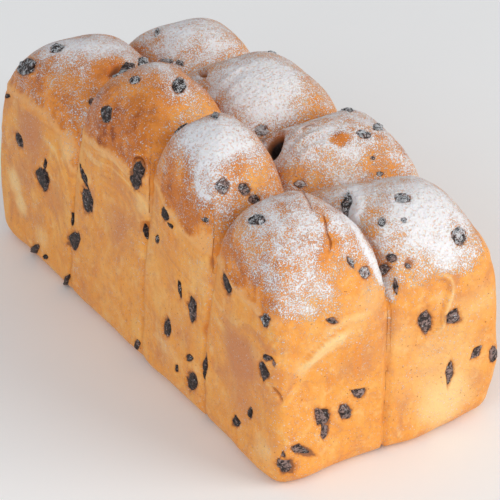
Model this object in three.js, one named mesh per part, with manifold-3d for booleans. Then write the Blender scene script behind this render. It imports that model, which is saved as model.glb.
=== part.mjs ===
// A tin loaf of sweet dough: eight balls of dough in two rows of four, grown together as they rose,
// with chocolate chips in the crust. Millimetres, +Z up, the loaf's length along Y, its base at Z = 0.
import * as THREE from 'three';
import { mergeVertices } from 'three/addons/utils/BufferGeometryUtils.js';
import Module from 'manifold-3d';

const wasm = await Module();
wasm.setup();

// The loaf
const LOAF_WIDTH = 119;        // across X, set by the tin
const LOAF_LENGTH = 253;       // along Y, set by the tin
const LOAF_CORNER = 8;         // upright edge at a corner of the tin
const BASE_EDGE = 9;           // rounding between the base and a wall
const SHOULDER = 9;            // rounding between a wall and the dome above it
const DOME_SPREAD = 1.25;      // half length of the whole dome over the half length of its ball
const DOME_SQUARENESS = 3;     // 2 for a round dome, more for one that fills the corners

// The seams where balls meet. Each has its place at the wall it starts from, SEAM_HEIGHT up, how far it
// leans in 100 mm of height, up to SEAM_STRAIGHTENS, and how far it turns in 100 mm away from that wall.
const SEAM_HEIGHT = 50;
const SEAM_STRAIGHTENS = 85;
const SEAM_OVERLAP = 1.5;      // how far each ball grows past its seam
const SEAM_CORNER = 3.5;       // upright edge of a ball where a seam meets a wall
const PIT_CORNER = 11;         // upright edge of a ball in the middle of the loaf, where four balls meet
const MIDDLE_SEAMS = [
  { at: 0, lean: 5, turn: -14 },
  { at: -8, lean: -2, turn: -1 },
  { at: -7, lean: -2, turn: 1 },
  { at: -1, lean: -2, turn: 2 },
];
const ROW_SEAMS = {
  left: [
    { at: -69, lean: -9, turn: 14 },
    { at: -14, lean: -9, turn: 17 },
    { at: 51, lean: -11, turn: 6 },
  ],
  right: [
    { at: -61, lean: 0, turn: 21 },
    { at: -4, lean: 0, turn: -9 },
    { at: 63, lean: 3, turn: 1 },
  ],
};

// Each row's balls from the near end: the height of the crown, the drop from it to the dome's rim, and the
// half width of the whole dome over the half width of its ball, on its side to the wall and to the middle.
const ROW_BALLS = {
  left: [
    { crown: 123, drop: 57, outer: 1.3, inner: 1.1 },
    { crown: 135, drop: 63, outer: 1.27, inner: 1.03 },
    { crown: 130, drop: 58, outer: 1.27, inner: 1.25 },
    { crown: 107, drop: 48, outer: 1.25, inner: 1.33 },
  ],
  right: [
    { crown: 107, drop: 53, outer: 1.15, inner: 2.15 },
    { crown: 110, drop: 41, outer: 1.4, inner: 1.18 },
    { crown: 112, drop: 49, outer: 1.15, inner: 1.35 },
    { crown: 98, drop: 46, outer: 1.22, inner: 1.32 },
  ],
};

// The dough in the middle of the loaf, below the pits between four balls
const CORE_PLACE = -4;
const CORE_HALF_WIDTH = 14;
const CORE_END_GAP = 30;
const CORE_FLOOR = 2;
const CORE_TOP = 66;

// A ball's grid: cells across, along and up, closer together towards the edges
const GRID_ACROSS = 8;
const GRID_UP = 8;
const GRID_CROWDING = 1.35;
const BISECTIONS = 30;

// Low lumps all over the dough, none at the base: their height, and how far apart they are along X, Y and Z
const LUMP_HEIGHT = 0.9;
const LUMP_LENGTHS = [47, 61, 53];
const LUMP_FADE = 25;          // height over which they grow from the base up

// The chips
const CHIP_SEED = 7;
const CHIPS_PER_BALL = 30;     // directions tried round each ball, of which only the crust's count
const CHIP_HALF_SIZE = [4.6, 3.4, 2.6];
const CHIP_SIZES = [0.7, 1.25];
const CHIP_SUNK = 0.5;         // how deep a chip's middle lies in the crust, in its half thicknesses
const CHIP_CLEAR = 4;          // least depth between a chip and the next ball
const CHIP_LOWEST = 9;

/** Repeatable random numbers from 0 to 1. */
function makeRandom(seed) {
  let state = seed;
  return () => {
    state = (state * 1664525 + 1013904223) % 4294967296;
    return state / 4294967296;
  };
}

/** A wall of the tin, written as a seam that neither leans nor turns. */
function wallAt(place) {
  return { at: place, lean: 0, turn: 0 };
}

/** Where a seam lies at a height and a distance from the wall that it starts from. */
function seamPlace(seam, height, distance) {
  const rise = Math.min(height, SEAM_STRAIGHTENS) - SEAM_HEIGHT;
  return seam.at + (seam.lean * rise + seam.turn * distance) / 100;
}

/** The eight balls, each with the seams or walls on its four sides. */
function listBalls() {
  const balls = [];
  for (const row of ['left', 'right']) {
    const along = [wallAt(-LOAF_LENGTH / 2), ...ROW_SEAMS[row], wallAt(LOAF_LENGTH / 2)];
    ROW_BALLS[row].forEach((sizes, i) => {
      const across = row === 'left'
        ? [wallAt(-LOAF_WIDTH / 2), MIDDLE_SEAMS[i]]
        : [MIDDLE_SEAMS[i], wallAt(LOAF_WIDTH / 2)];
      balls.push({ ...sizes, row, x: across, y: [along[i], along[i + 1]] });
    });
  }
  return balls;
}

/** Centre and half size between two sides of a ball, grown past its seams but not past a wall. */
function spanAt(sides, wallPlace, height, distance) {
  const overlaps = sides.map((side) => (Math.abs(side.at) === wallPlace ? 0 : SEAM_OVERLAP));
  const low = seamPlace(sides[0], height, distance) - overlaps[0];
  const high = seamPlace(sides[1], height, distance) + overlaps[1];
  return { centre: (low + high) / 2, half: (high - low) / 2 };
}

/** A ball's spans across and along the loaf at a point. */
function spansAt(ball, point) {
  const fromSide = ball.row === 'left' ? point.x + LOAF_WIDTH / 2 : LOAF_WIDTH / 2 - point.x;
  return {
    across: spanAt(ball.x, LOAF_WIDTH / 2, point.z, point.y + LOAF_LENGTH / 2),
    along: spanAt(ball.y, LOAF_LENGTH / 2, point.z, fromSide),
  };
}

/** Radius of the upright edge on the side of a ball that a point lies on. */
function edgeRadius(ball, acrossSide, alongSide) {
  const onWallAcross = (ball.row === 'left') === (acrossSide < 0);
  const seamAlong = ball.y[alongSide < 0 ? 0 : 1];
  const onWallAlong = Math.abs(seamAlong.at) === LOAF_LENGTH / 2;
  if (onWallAcross && onWallAlong) return LOAF_CORNER;
  return onWallAcross || onWallAlong ? SEAM_CORNER : PIT_CORNER;
}

/** Where two surfaces meet inside a solid, rounded with a radius. */
function roundedBoth(a, b, radius) {
  return Math.min(-radius, Math.max(a, b)) + Math.hypot(Math.max(a + radius, 0), Math.max(b + radius, 0));
}

/** How far out on a ball's dome a place is: 0 at the crown and 1 at the rim of the whole dome. */
function domeSpread(ball, shareAcross, shareAlong) {
  const onWallSide = (ball.row === 'left') === (shareAcross < 0);
  const across = Math.abs(shareAcross) / (onWallSide ? ball.outer : ball.inner);
  const along = Math.abs(shareAlong) / DOME_SPREAD;
  return (across ** DOME_SQUARENESS + along ** DOME_SQUARENESS) ** (1 / DOME_SQUARENESS);
}

/** Height of the lumps in the crust at a point. */
function lumpsAt(point) {
  const [x, y, z] = [point.x, point.y, point.z].map((place, i) => 2 * Math.PI * place / LUMP_LENGTHS[i]);
  const waves = Math.sin(x + 0.6 * z) + Math.sin(y - 0.5 * x + 1) + Math.sin(z + 0.7 * y + 2);
  return LUMP_HEIGHT / 2 * waves * Math.min(Math.max(point.z / LUMP_FADE, 0), 1);
}

/** About how far a point lies outside a ball of dough; negative inside it. */
function outsideBall(ball, point) {
  const { across, along } = spansAt(ball, point);
  const dx = point.x - across.centre;
  const dy = point.y - along.centre;
  const corner = edgeRadius(ball, dx, dy);
  const outX = Math.abs(dx) - across.half;
  const outY = Math.abs(dy) - along.half;
  const walls = roundedBoth(outX, outY, corner);
  const sides = roundedBoth(walls, -point.z, BASE_EDGE);
  const spread = Math.min(domeSpread(ball, dx / across.half, dy / along.half), 0.999);
  const fall = Math.sqrt(1 - spread * spread);
  const dome = point.z - (ball.crown - ball.drop * (1 - fall));
  const slope = ball.drop / across.half / DOME_SPREAD * spread / fall;
  return roundedBoth(sides, dome / Math.hypot(1, slope), SHOULDER) - lumpsAt(point);
}

/** Distance from a ball's heart to its crust in a direction, found by halving. */
function reach(ball, heart, direction) {
  let inside = 0;
  let outside = LOAF_LENGTH;
  const point = new THREE.Vector3();
  for (let i = 0; i < BISECTIONS; i += 1) {
    const middle = (inside + outside) / 2;
    point.copy(heart).addScaledVector(direction, middle);
    if (outsideBall(ball, point) < 0) inside = middle;
    else outside = middle;
  }
  return inside;
}

/** The point that a ball's crust is measured from. */
function heartOf(ball) {
  const middle = new THREE.Vector3(
    (ball.x[0].at + ball.x[1].at) / 2,
    (ball.y[0].at + ball.y[1].at) / 2,
    SEAM_HEIGHT,
  );
  const { across, along } = spansAt(ball, middle);
  return new THREE.Vector3(across.centre, along.centre, SEAM_HEIGHT);
}

/** Moves a grid place from -1 to 1 towards the nearer end. */
function crowd(place) {
  return Math.sign(place) * (1 - (1 - Math.abs(place)) ** GRID_CROWDING);
}

/** One ball of dough: a box grid pushed out to the crust. */
function ballGeometry(ball) {
  const geometry = new THREE.BoxGeometry(2, 2, 2, GRID_ACROSS, GRID_ACROSS, GRID_UP);
  const heart = heartOf(ball);
  const { across, along } = spansAt(ball, heart);
  const places = geometry.attributes.position;
  const direction = new THREE.Vector3();
  for (let i = 0; i < places.count; i += 1) {
    const up = crowd(places.getZ(i));
    const rise = up < 0 ? heart.z : ball.crown - ball.drop * 0.5 - heart.z;
    direction.set(crowd(places.getX(i)) * across.half, crowd(places.getY(i)) * along.half, up * rise);
    direction.normalize();
    const far = reach(ball, heart, direction);
    places.setXYZ(i, heart.x + direction.x * far, heart.y + direction.y * far, heart.z + direction.z * far);
  }
  return geometry;
}

/** The block of dough that closes the middle of the loaf below the pits. */
function coreGeometry() {
  const height = CORE_TOP - CORE_FLOOR;
  const geometry = new THREE.BoxGeometry(2 * CORE_HALF_WIDTH, LOAF_LENGTH - 2 * CORE_END_GAP, height);
  geometry.translate(CORE_PLACE, 0, CORE_FLOOR + height / 2);
  return geometry;
}

/** Directions spread evenly over a sphere along a spiral. */
function evenDirections(count, turn) {
  const golden = Math.PI * (3 - Math.sqrt(5));
  return Array.from({ length: count }, (_, i) => {
    const z = 1 - 2 * (i + 0.5) / count;
    const side = Math.sqrt(1 - z * z);
    const angle = golden * i + turn;
    return new THREE.Vector3(side * Math.cos(angle), side * Math.sin(angle), z);
  });
}

/** The way the crust faces at a point of a ball. */
function crustNormal(ball, point) {
  const step = 0.5;
  const slope = ['x', 'y', 'z'].map((axis) => {
    const ahead = point.clone();
    const behind = point.clone();
    ahead[axis] += step;
    behind[axis] -= step;
    return outsideBall(ball, ahead) - outsideBall(ball, behind);
  });
  return new THREE.Vector3(...slope).normalize();
}

/** One chip: a rough lump lying along the crust, part of it sunk in. */
function chipGeometry(point, normal, random) {
  const size = CHIP_SIZES[0] + (CHIP_SIZES[1] - CHIP_SIZES[0]) * random();
  const geometry = new THREE.IcosahedronGeometry(1, 0);
  geometry.scale(CHIP_HALF_SIZE[0] * size, CHIP_HALF_SIZE[1] * size, CHIP_HALF_SIZE[2]);
  geometry.rotateZ(2 * Math.PI * random());
  const lie = new THREE.Quaternion().setFromUnitVectors(new THREE.Vector3(0, 0, 1), normal);
  geometry.applyQuaternion(lie);
  const place = point.clone().addScaledVector(normal, -CHIP_HALF_SIZE[2] * CHIP_SUNK);
  geometry.translate(place.x, place.y, place.z);
  return geometry;
}

/** Chips spread evenly over the crust of every ball, none in a seam or on the base. */
function chipGeometries(balls) {
  const random = makeRandom(CHIP_SEED);
  const chips = [];
  balls.forEach((ball) => {
    const heart = heartOf(ball);
    const others = balls.filter((other) => other !== ball);
    evenDirections(CHIPS_PER_BALL, 2 * Math.PI * random()).forEach((direction) => {
      const point = heart.clone().addScaledVector(direction, reach(ball, heart, direction));
      const buried = others.some((other) => outsideBall(other, point) < CHIP_CLEAR);
      if (buried || point.z < CHIP_LOWEST) return;
      chips.push(chipGeometry(point, crustNormal(ball, point), random));
    });
  });
  return chips;
}

/** A closed geometry as a solid that can be joined. */
function toSolid(geometry) {
  const bare = geometry.clone();
  bare.deleteAttribute('normal');
  bare.deleteAttribute('uv');
  const merged = mergeVertices(bare);
  const order = merged.index
    ? Uint32Array.from(merged.index.array)
    : Uint32Array.from({ length: merged.attributes.position.count }, (_, i) => i);
  const vertProperties = Float32Array.from(merged.attributes.position.array);
  return new wasm.Manifold(new wasm.Mesh({ numProp: 3, vertProperties, triVerts: order }));
}

/** A joined solid back as a geometry. */
function toGeometry(solid) {
  const mesh = solid.getMesh();
  const geometry = new THREE.BufferGeometry();
  geometry.setAttribute('position', new THREE.BufferAttribute(Float32Array.from(mesh.vertProperties), 3));
  geometry.setIndex(new THREE.BufferAttribute(Uint32Array.from(mesh.triVerts), 1));
  geometry.computeVertexNormals();
  return geometry;
}

/** The whole loaf: balls, core and chips joined into one piece. */
function makeLoaf() {
  const balls = listBalls();
  const pieces = [...balls.map(ballGeometry), coreGeometry(), ...chipGeometries(balls)];
  const joined = pieces.map(toSolid).reduce((whole, piece) => whole.add(piece));
  const crust = new THREE.MeshStandardMaterial({ color: 0xd9954f, roughness: 0.75, metalness: 0 });
  const loaf = new THREE.Mesh(toGeometry(joined), crust);
  loaf.name = 'loaf';
  return loaf;
}

const group = new THREE.Group();
group.add(makeLoaf());

export default group;
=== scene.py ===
import itertools
import math

import bmesh
import bpy
import numpy as np
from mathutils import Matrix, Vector
from mathutils.bvhtree import BVHTree


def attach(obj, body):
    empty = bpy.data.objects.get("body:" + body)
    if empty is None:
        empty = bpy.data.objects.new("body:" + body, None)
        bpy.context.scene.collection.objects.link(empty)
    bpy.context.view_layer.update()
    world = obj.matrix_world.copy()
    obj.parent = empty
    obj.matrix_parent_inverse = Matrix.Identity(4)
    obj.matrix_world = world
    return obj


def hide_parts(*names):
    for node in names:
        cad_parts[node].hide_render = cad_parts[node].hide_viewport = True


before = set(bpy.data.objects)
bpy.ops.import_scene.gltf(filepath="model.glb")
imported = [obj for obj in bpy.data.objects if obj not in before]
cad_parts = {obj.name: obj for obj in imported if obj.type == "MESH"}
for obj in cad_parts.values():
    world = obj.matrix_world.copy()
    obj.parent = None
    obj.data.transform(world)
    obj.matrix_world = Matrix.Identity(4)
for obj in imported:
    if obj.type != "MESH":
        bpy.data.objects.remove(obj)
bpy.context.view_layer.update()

# Lengths are in millimetres, with the loaf's length along Y, until a mesh is made of them.
MM = 0.001

# The loaf's form, as in the solid
LOAF_WIDTH = 119
LOAF_LENGTH = 253
LOAF_CORNER = 8
BASE_EDGE = 9
SHOULDER = 9
DOME_SPREAD = 1.25
DOME_SQUARENESS = 3

# Seams: place at the wall they start from, lean in 100 mm of height, turn in 100 mm away from that wall
SEAM_HEIGHT = 50
SEAM_STRAIGHTENS = 85
SEAM_OVERLAP = 1.5
SEAM_CORNER = 3.5
PIT_CORNER = 11
MIDDLE_SEAMS = [(0, 5, -14), (-8, -2, -1), (-7, -2, 1), (-1, -2, 2)]
LEFT_SEAMS = [(-69, -9, 14), (-14, -9, 17), (51, -11, 6)]
RIGHT_SEAMS = [(-61, 0, 21), (-4, 0, -9), (63, 3, 1)]

# Balls from the near end: crown, drop to the dome's rim, the dome's spread on its side to the wall and to
# the middle, the height above which it is baked brown, and how much sugar and how dark a bake, 0 to 1
LEFT_BALLS = [
    dict(crown=123, drop=57, outer=1.3, inner=1.1, skin=90, sugar=0.62, bake=0.90),
    dict(crown=135, drop=63, outer=1.27, inner=1.03, skin=97, sugar=0.60, bake=0.90),
    dict(crown=130, drop=58, outer=1.27, inner=1.25, skin=98, sugar=0.36, bake=1.10),
    dict(crown=107, drop=48, outer=1.25, inner=1.33, skin=84, sugar=0.52, bake=1.00),
]
RIGHT_BALLS = [
    dict(crown=107, drop=53, outer=1.15, inner=2.15, skin=88, sugar=0.70, bake=0.35),
    dict(crown=110, drop=41, outer=1.4, inner=1.18, skin=86, sugar=0.72, bake=0.60),
    dict(crown=112, drop=49, outer=1.15, inner=1.35, skin=86, sugar=0.68, bake=0.65),
    dict(crown=98, drop=46, outer=1.22, inner=1.32, skin=78, sugar=0.66, bake=0.70),
]

# The dough in the middle, and the low lumps all over
CORE = dict(place=-4, half_width=14, end_gap=30, floor=2, top=66)
LUMP_HEIGHT = 0.9
LUMP_LENGTHS = (47, 61, 53)
LUMP_FADE = 25

# The uneven lower edge, in mm, then places on it with a reach and how far the crust is moved across and along
EDGE_WAVE = 1.2
EDGE_WAVE_LENGTH = 13
EDGE_WAVE_HEIGHT = 10
BASE_FADE = 6                  # height below which the relief fades, so that the base stays flat
EDGE_MOVES = [
    (np.array([57, -124, 3]), 17, (-3.9, 3.9)),
    (np.array([-43, -126, 3]), 13, (0, -2.2)),
    (np.array([14, -126, 3]), 10, (0, -1.8)),
]

# The fine crust, with the height, length and lattice of each of its rough waves
GRID_STEP = 1.38
GRID_TOP = 136                 # above the highest crown
SEAM_BLEND = 2.5
SETTLE_STEPS = 3
ROUGH_WAVES = [(0.35, 19, 1), (0.22, 8, 2), (0.1, 4, 3)]
LATTICE_CELLS = 32
LATTICE_SHIFT = 100.5
CORNERS = list(itertools.product((0, 1), repeat=3))

# The camera: a point it looks at, how far off, its angles in degrees and the picture's scale at that point
PICTURE = 500
CAMERA_TARGET = np.array([-7.9, -20.5, 50.0])
CAMERA_DISTANCE = 1800
CAMERA_AZIMUTH = 31
CAMERA_ELEVATION = 32
PIXELS_PER_MM = 2.23
SENSOR = 36

azimuth = math.radians(CAMERA_AZIMUTH)
elevation = math.radians(CAMERA_ELEVATION)
to_camera = np.array([
    -math.sin(azimuth) * math.cos(elevation),
    -math.cos(azimuth) * math.cos(elevation),
    math.sin(elevation),
])
picture_right = np.array([math.cos(azimuth), -math.sin(azimuth), 0.0])
picture_up = np.cross(to_camera, picture_right)
eye = CAMERA_TARGET + to_camera * CAMERA_DISTANCE
focal = PIXELS_PER_MM * CAMERA_DISTANCE

# Chips that show, by the part of the loaf that they lie on: centre, width, height and turn in degrees, in
# pixels of the picture, then the sugar on them from 0 to 1. A chip with a marked outline has its corners too,
# each with the angle in degrees, clockwise from the right in the picture, and the reach in its half sizes.
SEEN_CHIPS = {
    "first left": {
        "seam end": (227, 283, 8, 24, -15, 0),
        "upper corner": (265, 320, 11, 15, -10, 0.5),
        "hooked": (263.5, 371, 9, 24, -14, 0.05),
        "hook's top": (267, 358, 12, 7, 12, 0.05),
        "hook's tip": (274, 364, 4, 9, -25, 0),
        "low": (236, 422, 10, 12, 0, 0, [(-100, 1.5), (10, 0.95), (70, 1.0), (140, 0.9), (190, 0.8)]),
        "low small": (249.7, 413, 6, 13, 0, 0),
        "on the seam": (204.5, 368, 7, 24, 0, 0),
    },
    "first front": {
        "upper": (332, 321, 13, 9, 8, 0, [(-80, 1.0), (10, 1.25), (80, 0.8), (150, 0.75), (190, 1.05)]),
        "three corners": (359, 393, 15, 12, 0, 0,
                          [(-42, 1.35), (20, 0.75), (85, 1.1), (150, 0.85), (205, 1.3), (260, 0.6)]),
        "round": (345, 412, 15, 17, 0, 0,
                  [(-80, 1.0), (-15, 0.95), (45, 1.1), (120, 1.05), (180, 0.95), (230, 1.05)]),
        "big": (322, 417, 16, 18, 0, 0,
                [(-48, 1.3), (10, 0.95), (55, 1.15), (125, 1.1), (190, 0.95), (228, 1.35), (270, 0.85)]),
        "big's foot": (324, 432, 10, 17, 8, 0, [(-50, 1.2), (30, 0.8), (75, 1.1), (140, 0.8), (230, 1.1)]),
        "at the base": (300.5, 450, 21, 13, 14, 0,
                        [(-35, 0.9), (5, 1.3), (70, 0.8), (130, 0.9), (185, 1.1), (250, 1.05)]),
        "base corner": (286, 466, 19, 16, 0, 0,
                        [(-60, 1.0), (0, 0.95), (60, 1.1), (120, 1.0), (180, 0.95), (225, 1.1)]),
        "above the corner": (283, 455, 8, 8, 0, 0, [(-90, 1.2), (30, 0.9), (150, 0.9)]),
    },
    "fifth front": {
        "in the seam": (395.5, 287, 7, 18, -8, 0.1, [(-85, 1.1), (0, 0.9), (85, 1.1), (180, 0.8)]),
        "diamond": (425, 322, 17, 24, 0, 0,
                    [(-75, 1.1), (-25, 0.95), (35, 0.95), (88, 1.15), (170, 0.95), (215, 0.8)]),
        "square": (453, 317, 16, 15, -15, 0.1,
                   [(-50, 1.35), (42, 1.15), (95, 0.95), (150, 1.2), (215, 1.15), (268, 0.85)]),
        "leaning": (477, 352, 10, 17, 28, 0.1, [(-70, 1.2), (20, 0.9), (75, 0.8), (110, 1.2), (190, 0.9)]),
        "silhouette": (494.5, 354, 8, 18, 0, 0),
        "tall": (449.5, 373, 10, 23, 5, 0,
                 [(-80, 1.2), (0, 0.9), (60, 0.75), (95, 1.2), (180, 0.85), (235, 0.8)]),
    },
    "first crown": {
        "left": (256.5, 220, 20, 11, -12, 0.55),
        "pit": (300, 184, 14, 8, 0, 0.6),
    },
    "first right": {
        "low": (365.5, 272, 13, 14, 0, 0.55),
        "upper": (351.5, 263, 6, 13, -15, 0.6),
    },
    "middle": {
        "in the ring": (408.5, 266, 6, 6, 0, 0.5),
        "high": (391.5, 258, 11, 11, -20, 0.2),
        "low": (383.5, 269, 16, 11, -20, 0.45),
    },
    "fifth crown": {
        "left": (346.5, 204, 13, 23, 10, 0.5),
        "far": (402, 198, 17, 10, 5, 0.8),
        "right": (459, 235, 16, 21, -15, 0.6),
        "small": (382, 222, 8, 9, 0, 0.7),
        "faint": (404, 220, 6, 6, 0, 0.85),
    },
    "second crown": {
        "round": (222, 186, 15, 17, 10, 0.4),
        "right high": (245, 190, 12, 15, -20, 0.2),
        "right low": (254.5, 199, 13, 10, 15, 0.05),
    },
    "second left": {
        "upper": (165, 214, 8, 16, -18, 0),
        "upper's tail": (171, 226, 3, 11, -35, 0),
        "small": (157, 239, 4, 9, 0, 0.1),
        "thin": (179.5, 288, 5, 22, -8, 0),
        "long": (192, 309, 10, 28, -5, 0),
        "crater": (167, 328, 8, 22, -5, 0),
        "dot high": (189, 358, 8, 8, 0, 0.1),
        "dot low": (176.5, 368, 4, 9, 0, 0.1),
        "low": (192.5, 381, 12, 20, 0, 0),
        "seam low": (136, 345, 5, 10, 0, 0),
        "seam crater": (145, 232, 4, 14, -12, 0),
        "over the seam": (205, 220, 8, 6, 0, 0.5),
    },
    "third left": {
        "under the fold": (137, 175, 14, 28, 10, 0),
        "tall": (87, 201, 12, 27, -10, 0),
        "tall's tail": (84, 177, 5, 26, -17, 0),
        "streak": (72.5, 219, 4, 14, 0, 0),
        "low": (74.5, 241, 13, 20, 3, 0),
    },
    "third crown": {
        "ringed": (179.5, 84.5, 15, 15, 0, 0.5),
        "left": (106, 114, 12, 20, 0, 0.3),
        "faint": (135, 80, 12, 7, -15, 0.45),
    },
    "third ridge": {
        "dark": (128, 68, 15, 11, -20, 0.1),
        "lump": (143, 62, 12, 10, 0, 0.6),
        "right": (166, 61, 14, 5, 5, 0.75),
        "end": (180, 63, 9, 5, 15, 0.75),
        "behind the second": (214.5, 115, 11, 6, 0, 0.7),
    },
    "fourth left": {
        "upper": (19, 140, 7, 18, -18, 0.1),
        "edge": (7, 96, 5, 5, 0, 0.1),
        "middle": (42.5, 179, 13, 27, -14, 0),
        "middle's spike": (45, 164, 4, 15, 0, 0),
        "low": (33.5, 250, 8, 9, 0, 0),
        "lowest": (45, 257, 5, 5, 0, 0),
        "seam low": (65.5, 281, 5, 9, 0, 0),
    },
    "fourth crown": {
        "big": (26, 66, 21, 14, -35, 0.5),
        "top": (57, 48, 15, 9, -15, 0.6),
        "seam": (92, 102, 7, 8, 0, 0.3),
    },
    "sixth crown": {
        "high": (364, 134, 18, 9, 15, 0.75),
        "silhouette": (378.5, 127, 10, 6, 10, 0.8),
        "dot": (373, 158, 4, 4, 0, 0.4),
    },
    "far": {
        "behind the fifth": (380, 174, 8, 5, 0, 0.8),
        "pit by the seventh": (262, 130, 15, 12, 20, 0.85),
        "eighth": (157, 33, 5, 8, 10, 0.6),
    },
}

# Hollows: centre, width, height and turn, in pixels, then the depth in mm and how dark they are: browned and
# stained, partly painted shade in the hollow, and near black painted shade above 0.9, deep in the pits
HOLLOWS = {
    "fifth top: ring": (409, 263, 10, 14, 10, 1.2, 0.8),
    "first right: film": (352, 257, 13, 22, -5, 0.8, 0.1),
    "seam of the first": (211.5, 263, 5, 14, 0, 1.6, 0.8),
    "second seam: top": (144.5, 226, 8, 10, 0, 1.4, 0.6),
    "first seam: low": (205, 331, 5, 17, 0, 1.2, 0.5),
    "tall chip's hole": (451, 365, 5, 6, 0, 1.6, 0.9),
    "deep pit": (273, 143, 14, 27, 28, 9.0, 2.6),
    "pit by the eighth": (202, 72, 9, 7, 20, 5.0, 1.2),
    "fourth hollow": (115, 69, 18, 8, -42, 3.5, 1.0),
}

# Where the browned domes end above the long wall that shows, in pixels, from the near end
SKIN_LINES = {
    "first": [(263, 318), (252, 304), (238, 289), (228, 276), (221, 266), (216, 262)],
    "second": [(213, 257), (200, 247), (183, 230), (167, 206), (158, 192), (154, 186)],
    "third": [(150, 203), (139, 180), (126, 167), (113, 154), (102, 147), (90, 139), (80, 133)],
    "fourth": [(74, 172), (67, 166), (62, 152), (53, 127), (43, 115), (32, 105), (18, 96), (4, 88)],
}
SKIN_ARCH = 9                  # fall of that line from the middle of a ball to its ends, on other walls
SKIN_WALL = (22, 10)           # depths behind the long wall where its lines start to count and count in full
SKIN_RIDGE = 0.7
SEAM_GROOVE = 1.0              # depth of the soft groove where two balls meet in a wall
SEAM_GROOVE_WIDTH = 2.6

# Folds and creases: the pixels they run through, height in mm, negative for a groove, width in mm,
# and how brown they are
FOLDS = {
    "crack on the first crown": (
        [(320, 207), (325, 220), (327, 233), (331, 243), (328, 258)], -0.8, 1.6, 0.65),
    "short crack": ([(301, 189), (308, 200), (313, 214)], -0.6, 1.5, 0.45),
    "lip by the crack": ([(316, 207), (320, 222), (324, 240), (321, 260)], 0.7, 3.0, 0.0),
    "front fold": ([(350, 331), (334, 338), (316, 353), (297, 373)], 2.4, 4.0, 0.0),
    "front arch": ([(375, 312), (352, 316), (332, 325), (318, 331)], 0.7, 3.5, 0.0),
    "front arch low": ([(300, 345), (320, 333), (342, 327)], -0.4, 2.4, 0.0),
    "ring on the fifth": (
        [(430, 282), (439, 276), (448, 279), (450, 292), (444, 311), (440, 327), (429, 339)], 2.0, 2.6, 0.0),
    "wrinkles at the base": ([(352, 433), (362, 437), (373, 431)], 0.45, 2.0, 0.0),
    "line at the base": ([(322, 464), (345, 452), (377, 437)], 0.5, 2.5, 0.0),
    "first skin line": ([(216, 248), (221, 263), (239, 290), (264, 317)], 0.6, 3.0, 0.0),
    "second skin line": ([(160, 192), (168, 207), (184, 229), (200, 245)], 0.5, 2.6, 0.0),
    "third skin line": ([(81, 134), (90, 144), (112, 152), (126, 164)], 0.5, 2.6, 0.0),
    "fourth skin line": ([(6, 91), (29, 111), (53, 127), (58, 138)], 0.6, 3.0, 0.0),
    "lip over the third's chip": (
        [(128, 166), (134, 155), (143, 155), (149, 166), (148, 178)], 1.5, 2.4, 0.0),
    "crater of the third's chip": ([(131, 166), (136, 158), (143, 160), (146, 170)], -1.0, 1.6, 0.9),
    "film on the second": ([(212, 160), (201, 165), (198, 176), (201, 190), (209, 198)], 0.7, 1.8, 0.0),
    "swirl high": ([(287, 148), (295, 135), (309, 126), (323, 123)], 1.3, 1.9, 0.0),
    "swirl middle": ([(290, 155), (300, 143), (315, 134), (330, 131)], 1.3, 1.8, 0.0),
    "swirl low": ([(296, 162), (308, 151), (323, 145), (338, 149)], 1.1, 1.9, 0.0),
    "swirl's crack": ([(301, 131), (309, 126), (318, 125)], -0.5, 1.2, 0.5),
    "far wrinkle": ([(216, 92), (226, 80), (240, 70), (256, 64)], 0.7, 3.0, 0.0),
    "far wrinkle low": ([(226, 100), (236, 86), (252, 76)], 0.6, 2.6, 0.0),
    "right crown edge": ([(436, 257), (447, 259), (458, 255), (463, 247)], 0.6, 2.4, 0.0),
    "white ridge": ([(352, 191), (358, 202), (356, 214), (351, 220)], 1.2, 4.0, 0.0),
    "left wall swirl": ([(47, 190), (58, 214), (62, 240), (54, 262)], 0.4, 3.5, 0.0),
    "third wall swirl": ([(112, 168), (124, 190), (128, 222)], 0.35, 4.0, 0.0),
    "corner fold": ([(270, 385), (279, 394), (283, 404)], -0.4, 2.0, 0.5),
}

FOLD_PAINTED_LIGHT = 0.3                # how much paler a raised fold's crest is, as a painted highlight, and its foot deeper, as painted shade, per mm
FOLD_PAINTED_LIGHT_TOP = 2              # no fold gets more painted light and shade than one of this height
FOLD_STEEP = 0.55              # a fold's width on its steep side, in widths

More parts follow.
